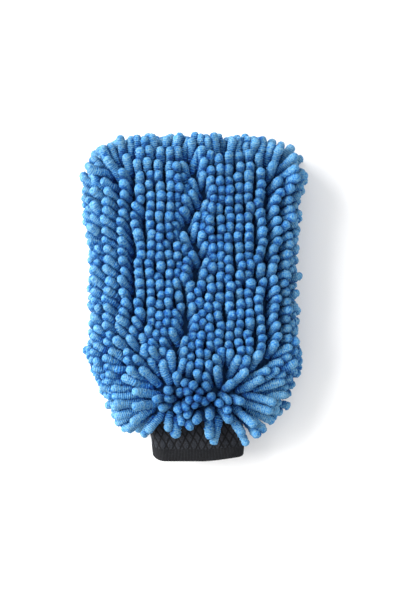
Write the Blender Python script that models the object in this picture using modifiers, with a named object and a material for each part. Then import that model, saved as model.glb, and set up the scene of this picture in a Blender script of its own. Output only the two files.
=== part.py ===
"""Chenille wash mitt, lying on its back panel with the cuff towards -Y.

Two panels of base cloth, sewn together round the sides and the closed end, make a bag with a lining
in it. Rows of chenille stand on both panels, and an elastic cuff is sewn to the bag's mouth.
The front panel and all that is sewn to it lift about the closed end when a hand goes in.
Origin: on the resting plane, under the middle of the mitt. Units: metres.
"""

import math

import bmesh
import bpy
from mathutils import Matrix, Vector

# Overall size
LENGTH = 0.280
WIDTH = 0.194

# Thickness of each layer, from the resting plane up
GAP = 0.0003
BACK_PILE = 0.0149
CLOTH = 0.0012
LINING = 0.0008
POCKET_HEIGHT = 0.021
FRONT_PILE = 0.022
BAG_RADIUS = POCKET_HEIGHT / 2 + LINING + GAP + CLOTH
LINING_RADIUS = POCKET_HEIGHT / 2 + LINING
RIM_SKIRT = 0.0012
MIDDLE_Z = BACK_PILE + GAP + BAG_RADIUS

# The bag's plan. Stations along the mitt are distances from the cuff's free edge.
EDGE_PILE = 0.017
BAG_HALF_WIDTH = WIDTH / 2 - EDGE_PILE
BAG_START = 0.035
BAG_END = LENGTH - EDGE_PILE
SHOULDER = 0.060
CORNER_RADIUS = 0.034
NECK_HALF_WIDTH = 0.041

# The lining is a smaller bag inside, which starts behind the mouth's seam allowance
MOUTH_SEAM_LENGTH = 0.008
MOUTH_SEAM_THICKNESS = 0.0025
LINING_START = BAG_START + MOUTH_SEAM_LENGTH + GAP
LINING_NECK_HALF_WIDTH = 0.036
LINING_INSET = 0.0088
LINING_CORNER_RADIUS = 0.028

# Cuff
BAND_WIDTH = 0.0093
BAND_THICKNESS = 0.0020
CUFF_HALF_WIDTH = 0.0405
CUFF_THICKNESS = 0.0016
CUFF_RADIUS = BAG_RADIUS - GAP
CUFF_SEAM = Vector((0.004, 0.024, 0.0024))

# Seam allowance inside the bag, and the overlock thread along its raw edge
SEAM_START = 0.052
SEAM_OUTER_INSET = 0.0016
SEAM_INNER_INSET = 0.0068
SEAM_THICKNESS = 0.0024
THREAD_RADIUS = 0.0005
THREAD_INSET = 0.0076

# Chenille rows on the flat of each panel, and the chenille round its edges
ROW_COUNT = 16
ROW_PITCH = 0.0083
ROW_WIDTH = 0.0079
ROW_START = 0.020
FINGER_PITCH = 0.0082
TIP_GAP = 0.0014
GAP_BOTTOM = 0.35
EDGE_START = 0.022
EDGE_INNER_RADIUS = BAG_RADIUS + 0.0012
EDGE_ANGLES = [math.radians(a) for a in (4, 33, 61, 90)]
LONG_FINGERS = 0.009
LONG_FINGERS_AT = 0.060
LONG_FINGERS_SPREAD = 0.035
CUFF_TAPER_START = 0.012
CUFF_TAPER_LENGTH = 0.030

ARC_STEPS = 6
SHOULDER_STEPS = 8
PROFILE_STEPS = 4
FRONT = 1
BACK = -1
SIDE_NAMES = {FRONT: "front", BACK: "back"}


def clear_scene():
    for item in list(bpy.data.objects):
        bpy.data.objects.remove(item, do_unlink=True)


def make_material(name, colour, roughness):
    material = bpy.data.materials.new(name)
    material.use_nodes = True
    shader = material.node_tree.nodes["Principled BSDF"]
    shader.inputs["Base Color"].default_value = (*colour, 1.0)
    shader.inputs["Roughness"].default_value = roughness
    shader.inputs["Metallic"].default_value = 0.0
    return material


def smoothstep(t):
    t = min(max(t, 0.0), 1.0)
    return t * t * (3 - 2 * t)


def station(distance):
    """Y of a distance from the cuff's free edge."""
    return distance - LENGTH / 2


# Plan outlines: the right half, from the mouth to the middle of the closed end


def bag_outline(start, neck, half_width, shoulder_start, end, corner):
    """Straight neck, S-shaped shoulder, straight side, round corner and straight end."""
    points = []
    if start < shoulder_start:
        points.append(Vector((neck, station(start))))
    for i in range(SHOULDER_STEPS + 1):
        t = i / SHOULDER_STEPS
        x = neck + (half_width - neck) * smoothstep(t)
        points.append(Vector((x, station(shoulder_start + SHOULDER * t))))
    for i in range(ARC_STEPS + 1):
        angle = math.pi / 2 * i / ARC_STEPS
        x = half_width - corner + corner * math.cos(angle)
        points.append(Vector((x, station(end) - corner + corner * math.sin(angle))))
    points.append(Vector((0, station(end))))
    return points


def outward(outline):
    """The outward normal at each point: square to the mouth at the start, along Y at a closed end."""
    normals = []
    for i in range(len(outline)):
        before = outline[max(i - 1, 0)]
        after = outline[min(i + 1, len(outline) - 1)]
        along = (after - before).normalized()
        normals.append(Vector((along.y, -along.x)))
    normals[0] = Vector((1, 0))
    normals[-1] = Vector((0, 1)) if outline[-1].x == 0 else Vector((1, 0))
    return normals


def inset(outline, distance):
    return [p - n * distance for p, n in zip(outline, outward(outline))]


BASE_OUTLINE = bag_outline(
    BAG_START, NECK_HALF_WIDTH, BAG_HALF_WIDTH, BAG_START, BAG_END, CORNER_RADIUS
)
LINING_OUTLINE = bag_outline(
    LINING_START,
    LINING_NECK_HALF_WIDTH,
    BAG_HALF_WIDTH - LINING_INSET,
    LINING_START,
    BAG_END - LINING_INSET,
    LINING_CORNER_RADIUS,
)
EDGE_OUTLINE = bag_outline(
    EDGE_START, NECK_HALF_WIDTH, BAG_HALF_WIDTH, BAG_START, BAG_END, CORNER_RADIUS
)


# Builders


def add_object(name, data, material, collection):
    data.materials.append(material)
    item = bpy.data.objects.new(name, data)
    collection.objects.link(item)
    return item


def mesh_from(name, build):
    """A mesh made by build(bm)."""
    bm = bmesh.new()
    build(bm)
    mesh = bpy.data.meshes.new(name)
    bm.to_mesh(mesh)
    bm.free()
    return mesh


def add_mirror(item):
    mirror = item.modifiers.new("Mirror", "MIRROR")
    mirror.merge_threshold = 0.00005


def half_shell(name, outline, radius, thickness, side, material, collection):
    """One half of a flat tube or bag: a flat panel whose edge rounds down to the middle plane.
    The right half of its outer surface is lofted along the outline, then mirrored and thickened."""
    profile = [(0.0, GAP / 2), (0.0, RIM_SKIRT)]
    for i in range(1, PROFILE_STEPS + 1):
        angle = math.pi / 2 * i / PROFILE_STEPS
        profile.append((radius * (1 - math.cos(angle)), radius * math.sin(angle)))

    def build(bm):
        sections = []
        for point, normal in zip(outline, outward(outline)):
            section = []
            for depth, height in profile:
                place = point - normal * depth
                section.append(bm.verts.new((place.x, place.y, MIDDLE_Z + side * height)))
            section.append(bm.verts.new((0, section[-1].co.y, section[-1].co.z)))
            sections.append(section)
        for lower, upper in zip(sections, sections[1:]):
            for j in range(len(lower) - 1):
                corners = (lower[j], upper[j], upper[j + 1], lower[j + 1])
                bm.faces.new(corners if side == FRONT else reversed(corners))
        bmesh.ops.remove_doubles(bm, verts=bm.verts, dist=0.00001)
        bmesh.ops.dissolve_degenerate(bm, edges=bm.edges, dist=0.00001)

    item = add_object(name, mesh_from(name, build), material, collection)
    add_mirror(item)
    solidify = item.modifiers.new("Thickness", "SOLIDIFY")
    solidify.thickness = thickness
    solidify.offset = -1
    solidify.use_even_offset = True
    item.data.shade_smooth()
    return item


def straight_tube_outline(half_width, start, end):
    return [Vector((half_width, station(start))), Vector((half_width, station(end)))]


def sweep(name, sections, mirrored, material, collection):
    """A solid lofted through closed sections. A mirrored one is left open at its last section."""

    def build(bm):
        rings = [[bm.verts.new(p) for p in section] for section in sections]
        count = len(rings[0])
        for lower, upper in zip(rings, rings[1:]):
            for j in range(count):
                k = (j + 1) % count
                bm.faces.new((lower[j], lower[k], upper[k], upper[j]))
        bm.faces.new(rings[0])
        last = bm.faces.new(rings[-1])
        bmesh.ops.recalc_face_normals(bm, faces=bm.faces)
        if mirrored:
            bmesh.ops.delete(bm, geom=[last], context="FACES_ONLY")

    item = add_object(name, mesh_from(name, build), material, collection)
    if mirrored:
        add_mirror(item)
    return item


def finger_reach(y):
    """How far the edge fingers stand beyond the cloth: longest at the shoulders, short on the cuff."""
    distance = y + LENGTH / 2
    t = (distance - LONG_FINGERS_AT) / LONG_FINGERS_SPREAD
    longest = LONG_FINGERS * max(0.0, 1 - t * t) ** 2
    return (EDGE_PILE + longest) * smoothstep((distance - CUFF_TAPER_START) / CUFF_TAPER_LENGTH)


def edge_section(point, normal, side, mirror_x):
    """A section of the edge chenille: a quarter of a ring round the bag's rounded edge."""
    first, last = EDGE_ANGLES[0], EDGE_ANGLES[-1]
    edge_radius = (BAG_RADIUS + finger_reach(point.y)) / math.cos(first)
    flat_radius = BAG_RADIUS + (FRONT_PILE if side == FRONT else BACK_PILE)
    inner, outer = [], []
    for angle in EDGE_ANGLES:
        share = (angle - first) / (last - first)
        outer_radius = edge_radius + (flat_radius - edge_radius) * share
        for ring, radius in ((inner, EDGE_INNER_RADIUS), (outer, outer_radius)):
            place = point + normal * (radius * math.cos(angle) - BAG_RADIUS)
            z = MIDDLE_Z + side * radius * math.sin(angle)
            ring.append(Vector((mirror_x * place.x, place.y, z)))
    return inner + outer[::-1]


def edge_chenille(side, material, collection):
    """The fingers round the edges of one panel: left side, right side and closed end."""
    normals = outward(EDGE_OUTLINE)
    split = len(EDGE_OUTLINE) - 2 - ARC_STEPS // 2
    along = Vector((-normals[split].y, normals[split].x)) * GAP
    prefix = SIDE_NAMES[side] + "_edge_chenille_"
    for name, mirror_x in (("right", 1), ("left", -1)):
        stations = list(zip(EDGE_OUTLINE, normals))[: split + 1]
        sections = [edge_section(p, n, side, mirror_x) for p, n in stations]
        sweep(prefix + name, sections, False, material, collection)
    stations = list(zip(EDGE_OUTLINE, normals))[split:]
    stations[0] = (stations[0][0] + along, stations[0][1])
    sections = [edge_section(p, n, side, 1) for p, n in stations]
    sweep(prefix + "end", sections, True, material, collection)


def crossing(outline, x):
    """The stations at which the outline's half-width passes x, on the mouth's and the end's side."""
    found = []
    for a, b in zip(outline, outline[1:]):
        if (a.x - x) * (b.x - x) < 0:
            found.append(a.y + (b.y - a.y) * (x - a.x) / (b.x - a.x))
    return found


def row_span(x):
    """Start and end of a row: it fills the flat of the panel, and the middle rows hang over the cuff."""
    flat = inset(BASE_OUTLINE, BAG_RADIUS + 2 * GAP)
    edge = abs(x) + ROW_WIDTH / 2
    crossings = crossing(flat, edge)
    start = min(crossings) if edge > flat[0].x else station(ROW_START)
    return start, max(crossings)


def comb_outline(start, end, root, tip):
    """Y and Z along a row's side: a flat root edge and a row of fingers with V gaps between them."""
    count = round((end - start) / FINGER_PITCH)
    pitch = (end - start) / count
    gap_bottom = root + (tip - root) * GAP_BOTTOM
    points = [(start, root), (end, root)]
    for i in reversed(range(count)):
        low = start + i * pitch
        points.append((low + pitch - TIP_GAP / 2, tip))
        points.append((low + TIP_GAP / 2, tip))
        if i > 0:
            points.append((low, gap_bottom))
    return points


def chenille_row(name, x, side, material, collection):
    """One row of fingers that share the yarn they are tufted from: an upright comb."""
    start, end = row_span(x)
    root = MIDDLE_Z + side * (BAG_RADIUS + GAP)
    tip = root + FRONT_PILE if side == FRONT else 0.0
    points = comb_outline(start, end, root, tip)
    curve = bpy.data.curves.new(name, "CURVE")
    curve.dimensions = "2D"
    curve.fill_mode = "BOTH"
    curve.extrude = ROW_WIDTH / 2
    spline = curve.splines.new("POLY")
    spline.points.add(len(points) - 1)
    for spot, (y, z) in zip(spline.points, points):
        spot.co = (y, z, 0, 1)
    spline.use_cyclic_u = True
    item = add_object(name, curve, material, collection)
    item.rotation_euler = (math.pi / 2, 0, math.pi / 2)
    item.location = (x, 0, 0)


def chenille_rows(side, material, collection):
    for i in range(ROW_COUNT):
        x = (i - (ROW_COUNT - 1) / 2) * ROW_PITCH
        name = f"{SIDE_NAMES[side]}_chenille_row_{i + 1:02d}"
        chenille_row(name, x, side, material, collection)


def perimeter_seam(material, collection):
    """The two panels' seam allowance, flat in the middle plane inside the bag."""
    stations = seam_stations()
    half = SEAM_THICKNESS / 2
    sections = []
    for point, normal in stations:
        section = []
        for depth, z in (
            (SEAM_OUTER_INSET, -half),
            (SEAM_OUTER_INSET, half),
            (SEAM_INNER_INSET, half),
            (SEAM_INNER_INSET, -half),
        ):
            place = point - normal * depth
            section.append(Vector((place.x, place.y, MIDDLE_Z + z)))
        sections.append(section)
    sweep("perimeter_seam", sections, True, material, collection)


def seam_stations():
    """Points and normals of the bag's outline beyond the place where the seam allowance starts."""
    stations = zip(BASE_OUTLINE, outward(BASE_OUTLINE))
    return [(p, n) for p, n in stations if p.y > station(SEAM_START)]


def perimeter_overlock(material, collection):
    """The overlock thread beside the allowance's raw edge, from one side round the end to the other."""
    right = [point - normal * THREAD_INSET for point, normal in seam_stations()]
    left = [Vector((-p.x, p.y)) for p in right[:-1]]
    route = left + right[::-1]
    curve = bpy.data.curves.new("perimeter_overlock", "CURVE")
    curve.dimensions = "3D"
    curve.bevel_depth = THREAD_RADIUS
    curve.bevel_resolution = 1
    curve.use_fill_caps = True
    spline = curve.splines.new("POLY")
    spline.points.add(len(route) - 1)
    for spot, place in zip(spline.points, route):
        spot.co = (place.x, place.y, MIDDLE_Z, 1)
    add_object("perimeter_overlock", curve, material, collection)


def mouth_seam(side, material, collection):
    """The folded-in edges of cuff, base cloth and lining, sewn together inside the bag's mouth."""
    clearance = CLOTH + 4 * GAP
    ends = (BAG_START, BAG_START + MOUTH_SEAM_LENGTH)
    outline = []
    for distance in ends:
        t = (distance - BAG_START) / SHOULDER
        x = NECK_HALF_WIDTH + (BAG_HALF_WIDTH - NECK_HALF_WIDTH) * smoothstep(t)
        outline.append(Vector((x - clearance, station(distance))))
    half_shell(
        "mouth_seam_" + SIDE_NAMES[side],
        outline,
        LINING_RADIUS,
        MOUTH_SEAM_THICKNESS,
        side,
        material,
        collection,
    )


def cuff_side_seam(name, sign, material, collection):
    """The allowance where the cuff's two halves are sewn together, lying inside the cuff."""
    x = sign * (CUFF_HALF_WIDTH - BAND_THICKNESS - 2 * GAP - CUFF_SEAM.x / 2)
    y = station(BAND_WIDTH + GAP + CUFF_SEAM.y / 2)
    bpy.ops.mesh.primitive_cube_add(size=1, location=(x, y, MIDDLE_Z))
    item = bpy.context.object
    item.name = name
    item.data.name = name
    item.data.transform(Matrix.Diagonal((*CUFF_SEAM, 1)))
    item.data.materials.append(material)
    for old in list(item.users_collection):
        old.objects.unlink(item)
    collection.objects.link(item)


def panel(side, materials, collection):
    """One panel of the mitt, with its half of the cuff and of the lining."""
    suffix = SIDE_NAMES[side]
    cloth, lining, elastic, chenille = (
        materials[k] for k in ("base_cloth", "lining", "cuff_elastic", "chenille")
    )
    half_shell(
        suffix + "_base_cloth", BASE_OUTLINE, BAG_RADIUS, CLOTH, side, cloth, collection
    )
    half_shell(
        suffix + "_lining", LINING_OUTLINE, LINING_RADIUS, LINING, side, lining, collection
    )
    mouth_seam(side, elastic, collection)
    cuff = straight_tube_outline(CUFF_HALF_WIDTH, BAND_WIDTH + GAP, BAG_START - GAP)
    half_shell("cuff_" + suffix, cuff, CUFF_RADIUS, CUFF_THICKNESS, side, elastic, collection)
    band = straight_tube_outline(CUFF_HALF_WIDTH, 0, BAND_WIDTH)
    half_shell("cuff_band_" + suffix, band, CUFF_RADIUS, BAND_THICKNESS, side, elastic, collection)
    chenille_rows(side, chenille, collection)
    edge_chenille(side, chenille, collection)


def main():
    clear_scene()
    mitt = bpy.data.collections.new("wash_mitt")
    bpy.context.scene.collection.children.link(mitt)
    materials = {
        "chenille": make_material("chenille", (0.10, 0.30, 0.58), 0.95),
        "base_cloth": make_material("base_cloth", (0.03, 0.10, 0.26), 0.9),
        "lining": make_material("lining", (0.05, 0.15, 0.33), 0.9),
        "cuff_elastic": make_material("cuff_elastic", (0.022, 0.025, 0.031), 0.8),
        "thread": make_material("thread", (0.04, 0.12, 0.28), 0.7),
    }
    for side in (BACK, FRONT):
        panel(side, materials, mitt)
    perimeter_seam(materials["base_cloth"], mitt)
    perimeter_overlock(materials["thread"], mitt)
    cuff_side_seam("cuff_side_seam_right", 1, materials["cuff_elastic"], mitt)
    cuff_side_seam("cuff_side_seam_left", -1, materials["cuff_elastic"], mitt)


main()
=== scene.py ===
"""Looks of the chenille wash mitt: pile, base cloth, lining, seams and elastic cuff.

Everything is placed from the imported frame. The mitt lies on its back panel with the cuff towards -Y.
The pile is grown finger by finger from the base cloth and then settled, so that the fingers lie
against each other, the cloth, the cuff and the floor.
"""

import math

import bpy
import numpy as np
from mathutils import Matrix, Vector
from mathutils.kdtree import KDTree


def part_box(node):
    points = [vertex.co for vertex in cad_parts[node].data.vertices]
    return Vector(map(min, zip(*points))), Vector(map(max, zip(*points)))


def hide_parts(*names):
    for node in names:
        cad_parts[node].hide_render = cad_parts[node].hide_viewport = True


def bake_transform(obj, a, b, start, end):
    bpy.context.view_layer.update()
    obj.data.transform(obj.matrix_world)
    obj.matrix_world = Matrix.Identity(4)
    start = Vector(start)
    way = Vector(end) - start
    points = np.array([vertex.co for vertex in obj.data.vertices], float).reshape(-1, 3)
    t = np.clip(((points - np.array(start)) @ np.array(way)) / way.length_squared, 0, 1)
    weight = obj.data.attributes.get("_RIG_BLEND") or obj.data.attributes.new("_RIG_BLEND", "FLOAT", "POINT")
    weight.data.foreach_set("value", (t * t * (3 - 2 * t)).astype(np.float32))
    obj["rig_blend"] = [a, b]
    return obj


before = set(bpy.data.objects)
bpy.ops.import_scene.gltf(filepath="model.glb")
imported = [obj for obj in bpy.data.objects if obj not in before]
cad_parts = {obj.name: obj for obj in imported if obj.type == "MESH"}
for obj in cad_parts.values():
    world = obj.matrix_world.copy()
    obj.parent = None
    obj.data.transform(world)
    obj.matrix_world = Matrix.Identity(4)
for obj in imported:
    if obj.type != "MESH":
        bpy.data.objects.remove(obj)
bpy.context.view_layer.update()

RNG = np.random.default_rng(20)
MM = 0.001

# Places read from the frame
BASE_LOW, BASE_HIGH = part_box("front_base_cloth")
BACK_LOW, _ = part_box("back_base_cloth")
_, CUFF_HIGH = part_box("cuff_front")
BAND_LOW, BAND_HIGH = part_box("cuff_band_front")
LINING_LOW, LINING_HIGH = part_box("front_lining")
SEAM_LOW, SEAM_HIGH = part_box("perimeter_seam")
MIDDLE_Z = (BASE_HIGH.z + BACK_LOW.z) / 2
BAG_RADIUS = (BASE_HIGH.z - BACK_LOW.z) / 2
HALF_WIDTH = BASE_HIGH.x
BAG_START = BASE_LOW.y
BAG_END = BASE_HIGH.y
CUFF_EDGE = BAND_LOW.y
CUFF_HALF_WIDTH = BAND_HIGH.x
CUFF_RADIUS = CUFF_HIGH.z - MIDDLE_Z
CUFF_BACK_LOW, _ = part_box("cuff_back")
MOUTH_LOW, MOUTH_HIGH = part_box("mouth_seam_front")

# The bag's plan, as the frame's cloth is cut
NECK_HALF_WIDTH = 41 * MM
SHOULDER = 60 * MM
CORNER_RADIUS = 34 * MM
LINING_NECK_HALF_WIDTH = 36 * MM
LINING_CORNER_RADIUS = 28 * MM
FRONT, BACK = 1, -1
SIDE_NAMES = {FRONT: "front", BACK: "back"}

# Thickness of the layers
CLOTH = 1.2 * MM
LINING = 0.8 * MM
CUFF_THICKNESS = 1.6 * MM
BAND_THICKNESS = 1.9 * MM
HEM_CLOTH = 0.8 * MM
MOUTH_SEAM = 2.5 * MM

# Pile
FINGER_RADIUS = 3.75 * MM
FINGER_PITCH = 8.1 * MM
EDGE_PITCH = 7.6 * MM
SOFTNESS = 0.87
FINGER_LENGTH = 23 * MM

# Sines of the lean of the combed pile and of a finger that lies down
COMBED = 0.6
LYING = 0.93

# The two fans beside the mouth: how far left and right of the middle they lie, and how many
# millimetres from the cuff's free edge
FAN_LEFT = 18.5 * MM
FAN_RIGHT = 21.5 * MM
FAN_UP = 55

# Settling: rounds, how hard each point of a finger keeps its place, how hard neighbours push,
# how far a point drops each round, and its height above the floor as a share of the finger's radius
ROUNDS = 140
GRIP = (1.0, 0.30, 0.14, 0.09, 0.07, 0.06, 0.06)
PUSH = 0.32
DROP = 0.04 * MM
FLOOR_CLEARANCE = 1.12

# How finely a finger is made
LINKS = 6
AROUND = 10
BODY_RINGS = 22
TIP_RINGS = 4


def smoothstep(t):
    t = np.clip(t, 0.0, 1.0)
    return t * t * (3 - 2 * t)


def unit(v):
    return v / np.maximum(np.linalg.norm(v, axis=-1, keepdims=True), 1e-9)


def along_mitt(millimetres):
    """Y of a distance from the cuff's free edge."""
    return CUFF_EDGE + millimetres * MM


# The plan outline


def resample(points, step):
    """Points a step apart along a polyline."""
    lengths = np.linalg.norm(np.diff(points, axis=0), axis=1)
    run = np.concatenate([[0], np.cumsum(lengths)])
    count = max(int(round(run[-1] / step)), 2)
    at = np.linspace(0, run[-1], count + 1)
    return np.stack([np.interp(at, run, points[:, k]) for k in range(2)], axis=1)


def half_plan(neck, half_width, start, shoulder_start, end, corner):
    """The right half of a bag's plan, from the mouth to the middle of the closed end."""
    points = [(neck, start)]
    for t in np.linspace(0, 1, 40):
        x = neck + (half_width - neck) * smoothstep(t)
        points.append((x, shoulder_start + SHOULDER * t))
    for angle in np.linspace(0, math.pi / 2, 24):
        x = half_width - corner + corner * math.cos(angle)
        points.append((x, end - corner + corner * math.sin(angle)))
    points.append((0, end))
    return np.array(points)


class Plan:
    """A plan outline from the left side of the mouth round to its right side."""

    def __init__(self, right_half, step=1.5 * MM):
        right = resample(right_half, step)
        self.points = np.vstack([right * (-1, 1), right[::-1][1:]])
        along = unit(np.gradient(self.points, axis=0))
        self.normals = np.stack([-along[:, 1], along[:, 0]], axis=1)
        steps = np.linalg.norm(np.diff(self.points, axis=0), axis=1)
        self.run = np.concatenate([[0], np.cumsum(steps)])

    def locate(self, place):
        """How far inside the outline each point lies, and the outline's normal there."""
        gaps = place[:, None, :] - self.points[None]
        nearest = np.argmin((gaps**2).sum(-1), axis=1)
        gap = gaps[np.arange(len(place)), nearest]
        normal = self.normals[nearest]
        outside = (gap * normal).sum(-1)
        far = np.linalg.norm(gap, axis=1)
        signed = np.where(far < 4 * MM, outside, np.sign(outside) * far)
        return -signed, normal

    def at(self, run):
        """Point and normal at a distance along the outline."""
        point = np.stack([np.interp(run, self.run, self.points[:, k]) for k in range(2)], -1)
        normal = np.stack([np.interp(run, self.run, self.normals[:, k]) for k in range(2)], -1)
        return point, unit(normal)


BASE_OUTLINE = half_plan(NECK_HALF_WIDTH, HALF_WIDTH, BAG_START, BAG_START, BAG_END, CORNER_RADIUS)
LINING_OUTLINE = half_plan(
    LINING_NECK_HALF_WIDTH, LINING_HIGH.x, LINING_LOW.y, LINING_LOW.y, LINING_HIGH.y, LINING_CORNER_RADIUS
)
BAG = Plan(half_plan(NECK_HALF_WIDTH, HALF_WIDTH, CUFF_EDGE, BAG_START, BAG_END, CORNER_RADIUS))
SEWN = Plan(BASE_OUTLINE)


def round_box_normal(place):
    """Square to a box with round corners round the upper part of the bag.
    Gives the direction and how far inside the box each point is."""
    corner = 30 * MM
    low = np.array([-HALF_WIDTH, along_mitt(-100)])
    high = np.array([HALF_WIDTH, BAG_END])
    centre = np.clip(place, low + corner, high - corner)
    offset = place - centre
    reach = np.linalg.norm(offset, axis=1)
    beside, below = HALF_WIDTH - np.abs(place[:, 0]), BAG_END - place[:, 1]
    inside = np.minimum(beside, below)
    sideways = np.stack([np.sign(place[:, 0]), np.zeros(len(place))], axis=1)
    square = np.where((below < beside)[:, None], (0, 1), sideways)
    rounded = reach > 1 * MM
    direction = np.where(rounded[:, None], unit(offset), square)
    depth = np.where(rounded, corner - reach, inside)
    return direction, depth


# Growing the pile


def wander(place, seed, size):
    """Smooth random vectors in the plan, which change over about the given size."""
    field = np.random.default_rng(seed)
    total = np.zeros((len(place), 2))
    for _ in range(6):
        heading = field.uniform(0, 2 * math.pi)
        wave = np.array([math.cos(heading), math.sin(heading)]) / (size * field.uniform(0.7, 1.4))
        phase = field.uniform(0, 2 * math.pi, 2)
        total += np.sin((place @ wave)[:, None] * 2 * math.pi + phase)
    return total / math.sqrt(6)


def parting_push(place):
    """The pile parts along a wavering line down the middle, which bears left lower down.
    The parting closes for a short way where it bears left."""
    x, y = place[:, 0], place[:, 1]
    line = 5 * MM * np.sin((y - along_mitt(203)) / (53 * MM) * 2 * math.pi)
    line -= 13 * MM * smoothstep((along_mitt(150) - y) / (35 * MM))
    away = x - line
    reach = smoothstep((y - along_mitt(80)) / (10 * MM)) * smoothstep((along_mitt(262) - y) / (25 * MM))
    reach *= 1 - np.exp(-(((y - along_mitt(131)) / (17 * MM)) ** 4))
    return np.sign(away) * np.exp(-((away / (9 * MM)) ** 2)) * reach


def fan(place):
    """Low down the pile fans out round two points beside the cuff, and falls over the cuff between them.
    Gives the direction, and a size that fades to nothing where the pile parts."""
    x, y = place[:, 0], place[:, 1]
    beside = np.sign(x) * np.maximum(np.abs(x) - np.where(x < 0, FAN_LEFT, FAN_RIGHT), 0)
    away = np.stack([beside, y - along_mitt(FAN_UP)], axis=1)
    fade = (17 - 4 * smoothstep((np.abs(x) / MM - 8) / 10)) * MM
    size = smoothstep(np.linalg.norm(away, axis=1) / fade)
    return unit(away), size


def in_fan(place):
    """How far the fan takes over: highest up the left side, and lowest in the right half."""
    left_side = smoothstep((-place[:, 0] - 24 * MM) / (26 * MM))
    top = np.where(place[:, 0] < 0, 100 + 24 * left_side, 86) * MM
    height = np.where(place[:, 0] < 0, 26 + 14 * left_side, 18) * MM
    return smoothstep((CUFF_EDGE + top - place[:, 1]) / height)[:, None]


def edge_direction(place):
    """Which way the fingers at the edge point: outwards and a little towards the closed end."""
    direction, _ = round_box_normal(place)
    upwards = np.where(place[:, 0] < 0, 0.7, 0.5) * np.abs(direction[:, 0])
    upper = unit(direction + np.column_stack([0 * upwards, upwards]))
    low_down = in_fan(place)
    return unit(upper * (1 - low_down) + fan(place)[0] * low_down)


def combed_tilt(place):
    """The front pile's lean: it is combed towards the closed end, and outwards at the edges."""
    x, y = place[:, 0], place[:, 1]
    _, depth = round_box_normal(place)
    edge = smoothstep((np.where(x < 0, 38, 32) * MM - depth) / (np.where(x < 0, 26, 32) * MM))[:, None]
    upper = np.array([0, COMBED]) * (1 - edge) + edge_direction(place) * LYING * edge
    direction, size = fan(place)
    beside = smoothstep((np.abs(x) - np.where(x < 0, 8, 14) * MM) / (20 * MM))
    over_cuff = smoothstep((along_mitt(60) - y) / (10 * MM))
    hang = 0.5 + 0.4 * smoothstep((x - 2 * MM) / (8 * MM))
    reach = COMBED + (LYING - COMBED) * beside
    reach = reach * (1 - over_cuff) + np.maximum(hang, reach) * over_cuff
    low_down = in_fan(place)
    tilt = upper * (1 - low_down) + direction * (reach * size)[:, None] * low_down
    tilt[:, 0] += parting_push(place) * 0.46
    return tilt


def flattened_tilt(place):
    """The back pile's lean: the mitt's weight presses it outwards from the middle."""
    direction, depth = round_box_normal(place)
    edge = np.exp(-np.maximum(depth - 5 * MM, 0) / (12 * MM))[:, None]
    spine = np.clip(place[:, 1], along_mitt(110), along_mitt(190))
    radial = np.stack([place[:, 0], place[:, 1] - spine], axis=1)
    radial /= 30 * MM + np.linalg.norm(radial, axis=1, keepdims=True)
    low_down = in_fan(place)
    outwards = direction * LYING * edge + radial * 1.1 * (1 - edge)
    return outwards * (1 - low_down) + fan(place)[0] * 0.9 * low_down


def tilt_at(place, side):
    """How far a finger leans, as a vector in the plan whose length is the sine of the lean."""
    tilt = combed_tilt(place) if side == FRONT else flattened_tilt(place)
    tilt += wander(place, 3 + side, 30 * MM) * 0.06
    untidy = 1 + (2.8 - 1.6 * fan(place)[1][:, None]) * in_fan(place)
    tilt += RNG.normal(0, 0.045, tilt.shape) * untidy
    size = np.linalg.norm(tilt, axis=1, keepdims=True)
    return tilt * np.minimum(1, 0.97 / np.maximum(size, 1e-9))


class Pile:
    """Every finger's root, the cloth's normal there, its lean, length, radius and piece."""

    def __init__(self):
        self.root, self.normal, self.aim, self.length, self.radius, self.piece = ([] for _ in range(6))

    def add(self, root, normal, aim, length, piece):
        count = len(root)
        self.root.append(root)
        self.normal.append(normal)
        self.aim.append(unit(aim))
        self.length.append(length * RNG.normal(1, 0.05, count))
        self.radius.append(FINGER_RADIUS * RNG.normal(1, 0.055, count))
        self.piece += piece

    def close(self):
        for name in ("root", "normal", "aim", "length", "radius"):
            setattr(self, name, np.concatenate(getattr(self, name)))
        self.piece = np.array(self.piece)


def bump(place, x, distance, size):
    """1 at a place on the mitt, fading to nothing round it."""
    offset = (place - np.array([x * MM, along_mitt(distance)])) / (size * MM)
    return np.exp(-(offset**2).sum(1))


def lengths_at(place):
    """Fingers are longer round the fans and at the upper corners.
    They are shorter along the right side and over the cuff."""
    x, y = place[:, 0], place[:, 1]
    fans = (9 * bump(place, -38, 55, 26) + 11 * bump(place, 41, 52, 26)) * fan(place)[1]
    corners = 4 * bump(place, -68, 246, 18) + 9 * bump(place, 76, 240, 16) + 2 * bump(place, -6, 266, 30)
    upper = smoothstep((y - along_mitt(78)) / (18 * MM)) * smoothstep((along_mitt(252) - y) / (12 * MM))
    high_up = smoothstep((y - along_mitt(170)) / (35 * MM))
    left = (5 * high_up - 1) * smoothstep((-x - 56 * MM) / (12 * MM)) * upper
    right = (3 * high_up - 5.5) * smoothstep((x - 60 * MM) / (12 * MM)) * upper
    over_cuff = -8 * bump(place, -13, 42, 15)
    return FINGER_LENGTH + (fans + corners + left + right + over_cuff) * MM


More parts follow.
